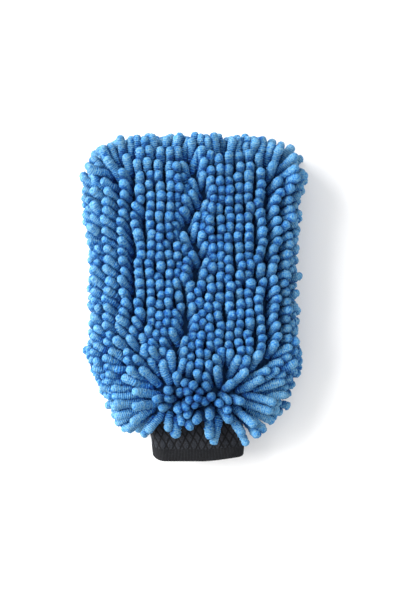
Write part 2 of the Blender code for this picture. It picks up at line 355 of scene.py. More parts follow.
def grow_rows(pile, side):
    """Rows on the flat of a panel, one for each row node of the frame."""
    prefix = SIDE_NAMES[side] + "_chenille_row_"
    for node in sorted(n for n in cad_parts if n.startswith(prefix)):
        low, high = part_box(node)
        start = max(low.y, BAG_START + 2 * MM)
        count = int(round((high.y - start) / FINGER_PITCH))
        pitch = (high.y - start) / count
        y = start + (np.arange(count) + RNG.uniform(0.3, 0.7)) * pitch
        place = np.stack([np.full(count, (low.x + high.x) / 2), y], axis=1)
        place += RNG.normal(0, 0.35 * MM, place.shape)
        tilt = tilt_at(place, side)
        rise = side * np.sqrt(1 - (tilt**2).sum(1))
        root = np.column_stack([place, np.full(count, MIDDLE_Z + side * BAG_RADIUS)])
        normal = np.tile((0, 0, float(side)), (count, 1))
        aim = np.column_stack([tilt, rise])
        pile.add(root, normal, aim, lengths_at(place), [node] * count)


def edge_runs():
    """Distances along the bag's outline at which the edge fingers stand: closer together low down."""
    start = np.interp(BAG_START + 3 * MM, BAG.points[:200, 1], BAG.run[:200])
    fine = np.arange(start, BAG.run[-1] - start, 0.5 * MM)
    point, _ = BAG.at(fine)
    density = 1 + 0.35 * smoothstep((along_mitt(95) - point[:, 1]) / (30 * MM))
    total = np.concatenate([[0], np.cumsum(density[1:] * np.diff(fine))])
    return np.interp(np.arange(0, total[-1], EDGE_PITCH), total, fine)


def edge_lean(line, place, outward):
    """How far the edge fingers lean from upright, in degrees, in each of the three lines.
    Along the right side they stand up more."""
    lying = np.array([72, 84, 92])[line]
    standing = np.array([40, 68, 87])[line]
    right = smoothstep((outward[:, 0] - 0.6) / 0.3)
    right *= smoothstep((place[:, 1] - along_mitt(88)) / (20 * MM))
    right *= smoothstep((along_mitt(246) - place[:, 1]) / (14 * MM))
    return lying + (standing - lying) * right


def grow_edges(pile, side):
    """Three lines of fingers round the rounded edge of a panel."""
    prefix = SIDE_NAMES[side] + "_edge_chenille_"
    for line, around in enumerate((14, 44, 74)):
        run = edge_runs()
        run = run[:-1] + (0.5 * (line % 2) + RNG.uniform(-0.1, 0.1, len(run) - 1)) * np.diff(run)
        point, outward = BAG.at(run)
        count = len(run)
        angle = np.radians(around + RNG.normal(0, 3, count))[:, None]
        place = point - outward * BAG_RADIUS * (1 - np.sin(angle))
        root = np.column_stack([place, MIDDLE_Z + side * BAG_RADIUS * np.cos(angle)])
        normal = np.column_stack([outward * np.sin(angle), side * np.cos(angle)])
        spread = edge_direction(place) + wander(place, 11 + line, 26 * MM) * 0.14
        spread = unit(spread + RNG.normal(0, 0.11, spread.shape))
        lean = edge_lean(line, place, outward) if side == FRONT else np.array([65, 79, 94])[line]
        tilt = np.radians(lean + RNG.normal(0, 5, count))[:, None]
        aim = np.column_stack([spread * np.sin(tilt), side * np.cos(tilt)])
        names = []
        for x, y in outward:
            names.append(prefix + ("end" if y > abs(x) else "right" if x > 0 else "left"))
        low_down = smoothstep((along_mitt(100) - place[:, 1]) / (20 * MM))
        shorter = np.array([0, 6, 10])[line] * MM * (1 - 0.6 * low_down)
        uneven = RNG.normal(0, 1.6 * MM, count)
        pile.add(root, normal, aim, lengths_at(place) - shorter + uneven, names)


def fill_gaps(pile, side):
    """Adds fingers on a panel wherever none stands near, each to the piece of its nearest neighbour.
    They stand closer together where the fans start and the pile parts."""
    roots, names = np.concatenate(pile.root), np.array(pile.piece)
    on_side = (roots[:, 2] - MIDDLE_Z) * side > 0
    roots, names = roots[on_side], names[on_side]
    xs = np.arange(-HALF_WIDTH, HALF_WIDTH, 1.4 * MM)
    ys = np.arange(BAG_START + 2.5 * MM, BAG_END, 1.4 * MM)
    place = np.stack(np.meshgrid(xs, ys), axis=-1).reshape(-1, 2)
    place = RNG.permutation(place + RNG.uniform(-0.6, 0.6, place.shape) * MM)
    depth, outward = BAG.locate(place)
    keep = depth > 2.5 * MM
    place, depth, outward = place[keep], depth[keep], outward[keep]
    sine = np.clip(1 - depth / BAG_RADIUS, 0, 1)[:, None]
    cosine = np.sqrt(1 - sine**2)
    spots = np.column_stack([place, MIDDLE_Z + side * BAG_RADIUS * cosine])
    normals = np.column_stack([outward * sine, side * cosine])
    spacing = (4.2 + 2.1 * fan(place)[1]) * MM
    taken, chosen, pieces = roots, [], []
    for i, spot in enumerate(spots):
        far = np.linalg.norm(taken - spot, axis=1)
        if far.min() > spacing[i]:
            chosen.append(i)
            pieces.append(names[np.argmin(far[: len(names)])])
            taken = np.vstack([taken, spot])
    place = place[chosen]
    tilt = tilt_at(place, side)
    aim = np.column_stack([tilt, side * np.sqrt(1 - (tilt**2).sum(1))])
    pile.add(spots[chosen], normals[chosen], aim, lengths_at(place), pieces)


def link_pairs(points, owner, reach):
    """Pairs of chain points that are within reach of each other and belong to different fingers."""
    tree = KDTree(len(points))
    for i, p in enumerate(points):
        tree.insert(p, i)
    tree.balance()
    first, second = [], []
    for i, p in enumerate(points):
        for _, j, _ in tree.find_range(p, reach):
            if j > i and owner[j] != owner[i]:
                first.append(i)
                second.append(j)
    return np.array(first), np.array(second)


def push_from_bag(points, radius):
    """Moves points that are inside the cloth or the cuff out to their own radius from it."""
    depth, outward = BAG.locate(points[:, :2])
    rise = points[:, 2] - MIDDLE_Z
    across = np.where(depth < BAG_RADIUS, BAG_RADIUS - depth, 0.0)
    away = np.hypot(across, rise)
    missing = BAG_RADIUS + radius * 0.95 - away
    shift = np.where(missing > 0, missing / np.maximum(away, 1e-6), 0.0)
    points[:, :2] += outward * (across * shift)[:, None]
    points[:, 2] += rise * shift


def settle(pile, rounds, renew=10):
    """Lets the fingers push each other apart and rest on what they meet. Returns their chains.
    They are soft, so neighbours press into each other a little."""
    count = len(pile.root)
    link = (pile.length / LINKS)[:, None]
    share = smoothstep(np.arange(1, LINKS + 1) / 2.2)[None, :, None]
    heading = unit(pile.normal[:, None] * (1 - share) + pile.aim[:, None] * share)
    rest = np.concatenate([pile.root[:, None], np.zeros((count, LINKS, 3))], axis=1)
    rest[:, 1:] = pile.root[:, None] + np.cumsum(heading * link[:, :, None], axis=1)
    chain = rest.copy()
    grip = np.array(GRIP)[None, :, None]
    radius = pile.radius[:, None] * np.array([0.7, 0.9, 1.0, 1.0, 1.0, 1.0, 0.97])[None, :]
    flat_radius = radius.ravel()
    owner = np.repeat(np.arange(count), LINKS + 1)
    for step in range(rounds):
        if step % renew == 0:
            first, second = link_pairs(chain.reshape(-1, 3), owner, 2.6 * FINGER_RADIUS)
            reach = SOFTNESS * (flat_radius[first] + flat_radius[second])
        chain += (rest - chain) * grip
        chain[:, 2:, 2] -= DROP
        points = chain.reshape(-1, 3)
        gap = points[second] - points[first]
        far = np.linalg.norm(gap, axis=1)
        push = np.maximum(reach - far, 0) * PUSH / np.maximum(far, 1e-6)
        move = gap * push[:, None]
        for k in range(3):
            points[:, k] += np.bincount(second, move[:, k], len(points))
            points[:, k] -= np.bincount(first, move[:, k], len(points))
        push_from_bag(points, flat_radius)
        points[:, 2] = np.maximum(points[:, 2], flat_radius * FLOOR_CLEARANCE)
        chain = points.reshape(count, LINKS + 1, 3)
        chain[:, 0] = pile.root
        for k in range(1, LINKS + 1):
            chain[:, k] = chain[:, k - 1] + unit(chain[:, k] - chain[:, k - 1]) * link
    return chain


# Meshes


def mesh_object(name, vertices, faces, attributes=()):
    """A smooth mesh. Its attribute rest keeps each point's place, for the materials' textures."""
    mesh = bpy.data.meshes.new(name)
    mesh.from_pydata(vertices.tolist(), [], faces)
    rest = mesh.attributes.new("rest", "FLOAT_VECTOR", "POINT")
    rest.data.foreach_set("vector", np.asarray(vertices, np.float32).ravel())
    for label, values in attributes:
        attribute = mesh.attributes.new(label, "FLOAT", "POINT")
        attribute.data.foreach_set("value", np.asarray(values, np.float32))
    mesh.shade_smooth()
    mesh.update()
    made = bpy.data.objects.new(name, mesh)
    bpy.context.scene.collection.objects.link(made)
    return made


def spline_points(chain, at):
    """Points at shares of the chain's length, on a smooth curve through its points."""
    before = 2 * chain[:, :1] - chain[:, 1:2]
    after = 2 * chain[:, -1:] - chain[:, -2:-1]
    padded = np.concatenate([before, chain, after], axis=1)
    where = np.clip(at * LINKS, 0, LINKS - 1e-6)
    k = where.astype(int)
    t = (where - k)[..., None]
    rows = np.arange(len(chain))[:, None]
    a, b, c, d = (padded[rows, k + i] for i in range(4))
    square, cube = 2 * a - 5 * b + 4 * c - d, 3 * b - a - 3 * c + d
    return 0.5 * (2 * b + (c - a) * t + square * t**2 + cube * t**3)


def finger_rings(chain, length, radius, draw):
    """Rings of vertices along every finger, and how far along it each ring is, in metres."""
    count = len(chain)
    body = np.linspace(0, 1, BODY_RINGS)[None, :] * (length - radius * 1.05)[:, None]
    turn = np.linspace(0, math.pi / 2, TIP_RINGS + 2)[1:-1][None, :]
    tip = (length - radius * 1.05)[:, None] + radius[:, None] * 1.05 * np.sin(turn)
    run = np.concatenate([body, tip], axis=1)
    width = np.ones_like(run)
    width[:, :BODY_RINGS] = 0.78 + 0.22 * smoothstep(body / (5 * MM))
    width[:, BODY_RINGS:] = np.cos(turn) ** 0.8
    width *= 1 + draw.normal(0, 0.035, run.shape)
    centre = spline_points(chain, run / length[:, None])
    apex = spline_points(chain, np.ones((count, 1)))[:, 0]
    along = unit(np.gradient(centre, axis=1))
    across = np.zeros_like(along)
    start = np.cross(along[:, 0], (0.31, 0.84, 0.44))
    across[:, 0] = unit(start)
    for i in range(1, run.shape[1]):
        kept = across[:, i - 1] - along[:, i] * (across[:, i - 1] * along[:, i]).sum(-1, keepdims=True)
        across[:, i] = unit(kept)
    other = np.cross(along, across)
    angle = np.linspace(0, 2 * math.pi, AROUND, endpoint=False) + draw.uniform(0, 1, (count, 1))
    angle = angle[:, None, :]
    lump = 1 + 0.045 * np.sin(2 * angle + draw.uniform(0, 6, (count, 1, 1)) + run[..., None] / (3.1 * MM))
    lump += draw.normal(0, 0.075, (count, run.shape[1], AROUND))
    size = (radius[:, None] * width)[..., None] * lump
    rings = centre[:, :, None] + across[:, :, None] * (np.cos(angle) * size)[..., None]
    rings += other[:, :, None] * (np.sin(angle) * size)[..., None]
    return rings, run, apex


def ring_faces(rings, around):
    """Quads and end faces of one finger: a closed root, a tube and a tip."""
    faces = [tuple(range(around))[::-1]]
    for i in range(rings - 1):
        for j in range(around):
            k = (j + 1) % around
            faces.append((i * around + j, i * around + k, (i + 1) * around + k, (i + 1) * around + j))
    last = (rings - 1) * around
    for j in range(around):
        faces.append((last + j, last + (j + 1) % around, rings * around))
    return faces


class Crowd:
    """Points along every finger, to tell how close the neighbours' middles are, for the painted shade between
    fingers.
    """

    def __init__(self, chain):
        self.points = spline_points(chain, np.tile(np.linspace(0, 1, 13), (len(chain), 1)))
        self.tree = KDTree(len(chain))
        for i, p in enumerate(self.points[:, 6]):
            self.tree.insert(p, i)
        self.tree.balance()

    def crevice_shade_mask(self, finger, vertices):
        """1 where a finger's surface presses on a neighbour, and 0 where it is free: the mask for painted
        shade between fingers.
        """
        near = [i for _, i, _ in self.tree.find_range(self.points[finger, 6], 38 * MM) if i != finger]
        others = self.points[near].reshape(-1, 3)
        low, high = vertices.min(axis=0) - 7 * MM, vertices.max(axis=0) + 7 * MM
        others = others[((others > low) & (others < high)).all(axis=1)]
        if not len(others):
            return np.zeros(len(vertices))
        far = np.linalg.norm(vertices[:, None] - others[None], axis=2).min(axis=1)
        return 1 - smoothstep((far - 0.85 * FINGER_RADIUS) / (0.85 * FINGER_RADIUS))


def finger_piece(name, pile, chain, chosen, crowd):
    """One piece that holds the chosen fingers."""
    draw = np.random.default_rng(int(chosen[0]) + 1000)
    rings, run, apex = finger_rings(chain[chosen], pile.length[chosen], pile.radius[chosen], draw)
    count, levels, around = rings.shape[:3]
    vertices = np.concatenate([rings.reshape(count, -1, 3), apex[:, None]], axis=1)
    one = ring_faces(levels, around)
    per = levels * around + 1
    faces = [tuple(v + f * per for v in face) for f in range(count) for face in one]
    length = pile.length[chosen][:, None]
    flat_run = np.concatenate([np.repeat(run, around, axis=1), length], axis=1)
    reach = np.linalg.norm(apex[:, :2] - rings[:, 0].mean(axis=1)[:, :2], axis=1)
    # How closely each point of a finger presses on a neighbour: the mask for the painted shade between
    # fingers.
    painted_crevice_shade = [crowd.crevice_shade_mask(i, points) for i, points in zip(chosen, vertices)]
    # along and lying also steer the chenille's painted light and shade.
    attributes = (
        ("run", flat_run.ravel()),
        ("along", (flat_run / length).ravel()),
        ("tint", np.repeat(draw.normal(0, 1, count), per)),
        ("lying", np.repeat(reach / length[:, 0], per)),
        ("painted_crevice_shade", np.concatenate(painted_crevice_shade)),
        ("root_height", np.repeat(pile.root[chosen][:, 2], per)),
    )
    return mesh_object(name, vertices.reshape(-1, 3), faces, attributes)


def closed_sheet(name, outer, inner, faces, attributes=()):
    """A sheet with a thickness: an outer face, an inner face and the rim between them."""
    count = len(outer)
    edges = {edge for face in faces for edge in zip(face, face[1:] + face[:1])}
    rim = [(a, b) for a, b in edges if (b, a) not in edges]
    both = list(faces) + [tuple(v + count for v in face[::-1]) for face in faces]
    both += [(b, a, a + count, b + count) for a, b in sorted(rim)]
    doubled = [(label, np.concatenate([values, values])) for label, values in attributes]
    return mesh_object(name, np.concatenate([outer, inner]), both, doubled)


def grid_faces(index, flip):
    """Quads between the rows of an array of vertex numbers."""
    corners = np.stack([index[:-1, :-1], index[:-1, 1:], index[1:, 1:], index[1:, :-1]], axis=-1)
    corners = corners.reshape(-1, 4)
    return [tuple(face) for face in (corners[:, ::-1] if flip else corners).tolist()]


# Cloth of the two bags

FLANK_STEP = 3 * MM
END_STATIONS = 13
EDGE_TURN = np.linspace(math.pi / 2, 0, 9)


def bag_surface(outline, radius, offset, side, slack):
    """One face of a bag's panel: flat in the middle, with edges that round down to the middle plane.
    Its stations run up the left side, along the closed end and down the right side."""
    flank = resample(outline[:-1], FLANK_STEP)
    end = np.linspace(outline[-2], outline[-1], END_STATIONS + 1)[1:]
    half = np.vstack([flank, end])
    ring = np.vstack([half * (-1, 1), half[::-1][1:]])
    along = unit(np.gradient(ring, axis=0))
    normal = np.stack([-along[:, 1], along[:, 0]], axis=1)
    normal[0], normal[-1] = (-1, 0), (1, 0)
    arc = radius - offset
    edge = []
    for angle in EDGE_TURN:
        place = ring - normal * (radius - arc * math.sin(angle))
        rise = side * arc * math.cos(angle)
        edge.append(np.column_stack([place, np.full(len(ring), MIDDLE_Z + rise)]))
    left, right = edge[-1][: len(flank)], edge[-1][::-1][: len(flank)]
    share = np.linspace(0, 1, 2 * END_STATIONS + 1)
    middle = left[:, None] * (1 - share[:, None]) + right[:, None] * share[:, None]
    wave = np.sin(middle[..., 0] / (11 * MM) + middle[..., 1] / (17 * MM))
    middle[..., 2] += side * slack * wave * np.sin(math.pi * share)
    return np.concatenate(edge + [middle[:-1, 1:-1].reshape(-1, 3)]), len(flank), len(ring)


def bag_panel(name, outline, radius, thickness, side, slack):
    outer, rows, stations = bag_surface(outline, radius, 0, side, slack)
    inner, _, _ = bag_surface(outline, radius, thickness, side, slack)
    columns = 2 * END_STATIONS + 1
    flat_start = (len(EDGE_TURN) - 1) * stations
    index = np.zeros((rows, columns), int)
    index[:, 0] = flat_start + np.arange(rows)
    index[:, -1] = flat_start + stations - 1 - np.arange(rows)
    index[-1] = flat_start + np.arange(rows - 1, rows - 1 + columns)
    middle = flat_start + stations + np.arange((rows - 1) * (columns - 2))
    index[:-1, 1:-1] = middle.reshape(rows - 1, -1)
    edge = np.arange(len(EDGE_TURN) * stations).reshape(-1, stations)
    faces = grid_faces(edge, side == FRONT) + grid_faces(index, side == BACK)
    return closed_sheet(name, outer, inner, faces)


# The cuff


def tube_side(u, radius):
    """A point on half of a flattened tube at a distance u round it from its middle, and its normal."""
    flat = CUFF_HALF_WIDTH - CUFF_RADIUS
    turn = np.clip((np.abs(u) - flat) / CUFF_RADIUS, 0, math.pi / 2)
    x = np.sign(u) * (np.minimum(np.abs(u), flat) + radius * np.sin(turn))
    return x, radius * np.cos(turn), np.sign(u) * np.sin(turn), np.cos(turn)


def free_edge(x):
    """How far the cuff's free edge is drawn up: a slope on the right, and rounded corners."""
    slope = 4.2 * MM * smoothstep((x - 2 * MM) / (CUFF_HALF_WIDTH + 6 * MM))
    width, height = np.where(x < 0, 12, 3.5) * MM, np.where(x < 0, 5.5, 1.2) * MM
    into = np.clip(1 - (CUFF_HALF_WIDTH - np.abs(x)) / width, 0, 0.96)
    return 1.1 * MM + slope + height * (1 - np.sqrt(1 - into**2))


def pull_at(v):
    """How far towards its free edge a place on the cuff is: 0 at the mouth and 1 at the edge."""
    return np.clip(1 - v / (CUFF_HIGH.y - CUFF_EDGE), 0, 1)


def drawn_in(x, pull):
    """The cuff narrows towards its free edge, and lies a little to the right."""
    return x * (1 - 0.047 * pull**2) + 2.7 * MM * smoothstep(pull * 1.6)


def cuff_surface(u, v, offset, side):
    """Places on the cuff. v is the distance from its free edge and offset the height above its face."""
    x, rise, nx, nz = tube_side(u, CUFF_RADIUS)
    pull = pull_at(v)
    sag = 0.9 * MM * pull * np.cos(x / CUFF_HALF_WIDTH * math.pi / 2) ** 2
    ripple = 0.35 * MM * np.sin(x / (7.3 * MM) + v / (9 * MM)) * nz
    lift = offset + ripple - sag * nz
    y = CUFF_EDGE + v + free_edge(x) * pull + 4.8 * MM * pull * (1 - pull)
    return np.stack([drawn_in(x + nx * offset, pull), y, MIDDLE_Z + side * (rise + nz * lift)], axis=-1)


def diamond_relief(u, v):
    """Puffed diamonds between sunk lines, as the elastic is woven."""
    wide, tall = 6.8 * MM, 13 * MM
    slant = 1 / math.hypot(1 / wide, 1 / tall)
    a, b = u / wide + v / tall, u / wide - v / tall
    from_line = np.minimum(np.abs(a - np.round(a)), np.abs(b - np.round(b))) * slant
    puff = 0.3 * MM * smoothstep(from_line / (1.3 * MM))
    return puff - 0.4 * MM * np.exp(-((from_line / (0.27 * MM)) ** 2)) - 0.3 * MM


def cuff_grid(low, high, step_u, step_v):
    reach = CUFF_HALF_WIDTH - CUFF_RADIUS + CUFF_RADIUS * math.pi / 2
    us = np.linspace(-reach, reach, int(2 * reach / step_u))
    vs = np.linspace(low - CUFF_EDGE, high - CUFF_EDGE, int((high - low) / step_v))
    return np.meshgrid(us, vs)


def cuff_half(name, side):
    """Half of the cuff's body, from its hem to the mouth's seam."""
    u, v = cuff_grid(BAND_HIGH.y + 0.02 * MM, CUFF_HIGH.y, 0.36 * MM, 0.36 * MM)
    relief = diamond_relief(u, v)
    outer = cuff_surface(u, v, relief, side).reshape(-1, 3)
    inner = cuff_surface(u, v, -CUFF_THICKNESS, side).reshape(-1, 3)
    index = np.arange(u.size).reshape(u.shape)
    height = (relief.ravel() - relief.min()) / np.ptp(relief)
    return closed_sheet(name, outer, inner, grid_faces(index, side == BACK), [("relief", height)])


def cuff_hem(name, side):
    """Half of the hem: ribbed elastic folded over at the free edge."""
    reach = CUFF_HALF_WIDTH - CUFF_RADIUS + CUFF_RADIUS * math.pi / 2
    us = np.linspace(-reach, reach, int(2 * reach / (0.24 * MM)))
    leaf, bend = (BAND_HIGH.y - BAND_LOW.y), (BAND_THICKNESS - HEM_CLOTH) / 2
    straight = np.linspace(leaf, bend, 22)
    turn = np.linspace(0, math.pi, 9)[1:-1]
    v = np.concatenate([straight, bend - bend * np.sin(turn), straight[::-1]])
    depth = np.concatenate([0 * straight, bend * (1 - np.cos(turn)), 0 * straight + 2 * bend])
    across = np.concatenate([0 * straight, -np.sin(turn), 0 * straight])
    up = np.concatenate([0 * straight + 1, np.cos(turn), 0 * straight - 1])
    u, v = np.meshgrid(us, v)
    depth, across, up = (np.broadcast_to(values[:, None], u.shape) for values in (depth, across, up))
    rib = 0.16 * MM * np.cos(u / (1.3 * MM) * 2 * math.pi)
    shells = []
    for out in (HEM_CLOTH / 2 + rib, -HEM_CLOTH / 2):
        offset = up * out - depth - HEM_CLOTH / 2 - 0.16 * MM
        shells.append(cuff_surface(u, v + across * out, offset, side).reshape(-1, 3))
    index = np.arange(u.size).reshape(u.shape)
    height = 0.5 + 0.5 * rib.ravel() / rib.max()
    return closed_sheet(name, *shells, grid_faces(index, side == FRONT), [("relief", height)])


def mouth_allowance(name, side):
    """The edges of cuff, base cloth and lining, folded in and stitched together inside the mouth."""
    u, v = cuff_grid(MOUTH_LOW.y, MOUTH_HIGH.y, 0.8 * MM, 0.5 * MM)
    x, rise, nx, nz = tube_side(u, CUFF_RADIUS)
    outer_inset = BAG_RADIUS - (MOUTH_HIGH.z - MIDDLE_Z)
    stitch = 0.25 * MM * np.sin(u / (2.6 * MM) * 2 * math.pi + v / (2.2 * MM))
    shells = []
    for depth, relief in ((outer_inset + 0.3 * MM, stitch * 0.3), (outer_inset + MOUTH_SEAM, stitch)):
        inward = depth - relief
        height = MIDDLE_Z + side * (rise - nz * inward)
        place = np.stack([x - nx * inward, CUFF_EDGE + v, height], axis=-1)
        shells.append(place.reshape(-1, 3))
    index = np.arange(u.size).reshape(u.shape)
    return closed_sheet(name, shells[0], shells[1], grid_faces(index, side == BACK))


# Seams


def swept_loop(name, sections):
    """A closed solid through closed sections of the same number of points."""
    levels, around = len(sections), len(sections[0])
    faces = [tuple(range(around))]
    faces.append(tuple(range((levels - 1) * around, levels * around))[::-1])
    for i in range(levels - 1):
        for j in range(around):
            k = (j + 1) % around
            a, b = i * around, (i + 1) * around
            faces.append((a + j, b + j, b + k, a + k))
    return mesh_object(name, np.concatenate(sections), faces)


def layered_strip(width, thickness):
    """Section of two raw edges that lie on each other, with a groove between them."""
    w, t = width / 2, thickness / 2
    groove = 0.5 * MM
    return np.array([
        (-w, -t * 0.8), (-w * 0.6, -t), (w * 0.6, -t), (w, -t * 0.75), (w, -t * 0.15), (w - groove, 0),
        (w, t * 0.15), (w, t * 0.75), (w * 0.6, t), (-w * 0.6, t), (-w, t * 0.8),
        (-w, t * 0.15), (-w + groove, 0), (-w, -t * 0.15),
    ])  # fmt: skip


def seam_allowance(name):
    """The two panels' raw edges inside the bag, sewn together."""
    inner, outer = 6.8 * MM, 1.6 * MM
    section = layered_strip(inner - outer, SEAM_HIGH.z - SEAM_LOW.z)
    start = np.interp(SEAM_LOW.y, SEWN.points[:100, 1], SEWN.run[:100])
    run = np.arange(start, SEWN.run[-1] - start, 1.2 * MM)
    point, normal = SEWN.at(run)
    pucker = 0.25 * MM * np.sin(run / (3.4 * MM) * 2 * math.pi)
    sections = []
    for p, n, lift in zip(point, normal, pucker):
        across = p - n * ((inner + outer) / 2)
        flat = across[None] - n[None] * section[:, :1]
        sections.append(np.column_stack([flat, MIDDLE_Z + section[:, 1] * 0.82 + lift * 0.4]))
    return swept_loop(name, sections)


def tube_along(name, path, radius, around=8):
    """A thread along a path."""
    along = unit(np.gradient(path, axis=0))
    across = unit(np.cross(along, (0.0, 0.0, 1.0)))
    other = np.cross(across, along)
    angle = np.linspace(0, 2 * math.pi, around, endpoint=False)[:, None]
    sections = []
    for p, a, b in zip(path, across, other):
        sections.append(p + radius * (np.cos(angle) * a + np.sin(angle) * b))
    return swept_loop(name, sections)


def overlock(name):
    """Thread that loops over the raw edge all the way along the seam."""
    start = np.interp(SEAM_LOW.y + 4 * MM, SEWN.points[:100, 1], SEWN.run[:100])
    run = np.arange(start, SEWN.run[-1] - start, 0.3 * MM)
    point, normal = SEWN.at(run)
    loop = run / (2.6 * MM) * 2 * math.pi
    inset = 7.0 * MM + 0.55 * MM * np.cos(loop)
    place = point - normal * inset[:, None]
    path = np.column_stack([place, MIDDLE_Z + 0.75 * MM * np.sin(loop)])
    return tube_along(name, path, 0.28 * MM, around=6)


def cuff_seam(name):
    """The allowance where the cuff's halves are sewn together, folded flat inside the cuff."""
    low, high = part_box(name.replace("_piece", ""))
    section = layered_strip(high.x - low.x, high.z - low.z)
    sections = []
    for y in np.arange(low.y, high.y, 0.4 * MM):
        rib = 1 + 0.06 * math.cos(y / (1.2 * MM) * 2 * math.pi)
        x = drawn_in((low.x + high.x) / 2 + section[:, 0], pull_at(y - CUFF_EDGE))
        sections.append(np.column_stack([x, np.full(len(x), y), MIDDLE_Z + section[:, 1] * rib * 0.9]))
    return swept_loop(name, sections)


# Materials


def srgb(*channels):
    """Linear colour of a screen colour given as 0 to 255."""
    linear = [((c / 255 + 0.055) / 1.055) ** 2.4 if c > 10 else c / 255 / 12.92 for c in channels]
    return (*linear, 1)


class Shader:
    """A material and short ways to add nodes to it."""

    def __init__(self, name, roughness, sheen=0.0, sheen_tint=(1, 1, 1, 1)):
        self.material = bpy.data.materials.new(name)
        self.material.use_nodes = True
        self.tree = self.material.node_tree
        self.surface = self.tree.nodes["Principled BSDF"]
        self.set("Roughness", roughness)
        self.set("Specular IOR Level", 0.25)
        self.set("Sheen Weight", sheen)
        self.set("Sheen Roughness", 0.5)
        self.set("Sheen Tint", sheen_tint)

    def set(self, socket, value):
        self.surface.inputs[socket].default_value = value

    def link(self, source, target):
        self.tree.links.new(source, target)

    def attribute(self, name, vector=False):
        node = self.tree.nodes.new("ShaderNodeAttribute")
        node.attribute_name = name
        return node.outputs["Vector" if vector else "Fac"]

    def math(self, operation, *values):
        node = self.tree.nodes.new("ShaderNodeMath")
        node.operation = operation
        for socket, value in zip(node.inputs, values):
            if isinstance(value, (int, float)):
                socket.default_value = value
            else:
                self.link(value, socket)
        return node.outputs[0]

    def noise(self, size, detail=2.0, stretch=(1, 1, 1)):
        """Noise whose features are about the given size, on the rest places."""
        mapping = self.tree.nodes.new("ShaderNodeMapping")
        mapping.inputs["Scale"].default_value = [s / size for s in stretch]
        self.link(self.attribute("rest", vector=True), mapping.inputs["Vector"])
        node = self.tree.nodes.new("ShaderNodeTexNoise")
        node.inputs["Scale"].default_value = 1.0
        node.inputs["Detail"].default_value = detail
        self.link(mapping.outputs[0], node.inputs["Vector"])
        return node.outputs["Fac"]

    def axis(self, name):
        node = self.tree.nodes.new("ShaderNodeSeparateXYZ")
        self.link(self.attribute("rest", vector=True), node.inputs[0])
        return node.outputs[name]

    def wave(self, value, pitch):
        """A sine wave from 0 to 1 along a distance."""
        turned = self.math("SINE", self.math("MULTIPLY", value, 2 * math.pi / pitch))
        return self.math("MULTIPLY_ADD", turned, 0.5, 0.5)

    def ramp(self, value, *stops):
        node = self.tree.nodes.new("ShaderNodeValToRGB")
        ramp = node.color_ramp
        while len(ramp.elements) < len(stops):
            ramp.elements.new(0.5)
        for element, (position, colour) in zip(ramp.elements, stops):
            element.position = position
            element.color = colour
        self.link(value, node.inputs["Fac"])
        return node.outputs["Color"]

    def brightness(self, colour, value):
        node = self.tree.nodes.new("ShaderNodeHueSaturation")
        self.link(colour, node.inputs["Color"])
        self.link(value, node.inputs["Value"])
        return node.outputs["Color"]

    def finish(self, colour, height, distance):
        """Gives the surface its colour, and a relief of up to the given distance."""
        self.link(colour, self.surface.inputs["Base Color"])
        bump = self.tree.nodes.new("ShaderNodeBump")
        bump.inputs["Distance"].default_value = distance
        bump.inputs["Strength"].default_value = 1.0
        self.link(height, bump.inputs["Height"])
        self.link(bump.outputs[0], self.surface.inputs["Normal"])
        return self.material


def chenille_material():
    """Matt microfibre: short fibres in rings round a core, with painted light and shade: paler where they
    stand up to the light, towards the tips and on fingers that lie down, and painted shade at the roots.
    """
    s = Shader("chenille", 0.9, sheen=0.08, sheen_tint=srgb(120, 185, 225))
    fuzz = s.noise(1.5 * MM, detail=3)
    fine = s.noise(0.6 * MM, detail=2)
    along = s.attribute("along")
    lying = s.attribute("lying")
    painted_crevice_shade = s.attribute("painted_crevice_shade")
    rings = s.wave(s.math("ADD", s.attribute("run"), s.math("MULTIPLY", fuzz, 0.7 * MM)), 1.65 * MM)
    rings = s.math("MULTIPLY", rings, s.math("SUBTRACT", 1.0, s.math("POWER", along, 6.0)))
    # Painted light and shade: darker at the roots, paler towards the tips and on fingers that lie down.
    painted_light_share = s.math("ADD", along, s.math("MULTIPLY_ADD", lying, 0.5, -0.2))
    fibres = s.math("ADD", s.math("MULTIPLY", rings, 0.32), s.math("MULTIPLY", fuzz, 1.3))
    # The colour's tone: the fibres' rings and fuzz, plus the painted light and shade.
    tone = s.math("ADD", s.math("MULTIPLY", painted_light_share, 0.5), s.math("ADD", fibres, -0.5))
    # Painted shade where fingers press on each other.
    tone = s.math("SUBTRACT", tone, s.math("MULTIPLY", painted_crevice_shade, 0.3))
    colour = s.ramp(
        tone,
        (0.0, srgb(0, 30, 104)),
        (0.25, srgb(0, 54, 132)),
        (0.5, srgb(26, 98, 168)),
        (0.75, srgb(76, 134, 176)),
        (1.0, srgb(114, 155, 181)),
    )
    # Brightness: a random tone for each finger, painted light on fingers that lie down, and painted shade
    # where fingers press on each other.
    light = s.math("MULTIPLY_ADD", s.attribute("tint"), 0.07, 0.77)
    light = s.math("ADD", light, s.math("MULTIPLY", lying, 0.35))
    light = s.math("SUBTRACT", light, s.math("MULTIPLY", painted_crevice_shade, 0.3))
    height = s.math("ADD", s.math("MULTIPLY", rings, 0.9), s.math("MULTIPLY", fuzz, 1.3))
    height = s.math("ADD", height, s.math("MULTIPLY", fine, 0.6))
    return s.finish(s.brightness(colour, light), height, distance=0.7 * MM)


def knit_material(name, colour, dark, pitch):
    """Fine warp knit: columns of loops."""
    s = Shader(name, 0.85, sheen=0.15, sheen_tint=srgb(200, 220, 240))
    column = s.wave(s.axis("X"), pitch)
    course = s.wave(s.math("ADD", s.axis("Y"), s.math("MULTIPLY", column, pitch * 0.4)), pitch * 0.8)
    loops = s.math("MULTIPLY", column, course)
    worn = s.math("ADD", s.math("MULTIPLY", loops, 0.7), s.math("MULTIPLY", s.noise(6 * MM), 0.3))
    return s.finish(s.ramp(worn, (0.1, srgb(*dark)), (0.8, srgb(*colour))), loops, distance=0.25 * MM)


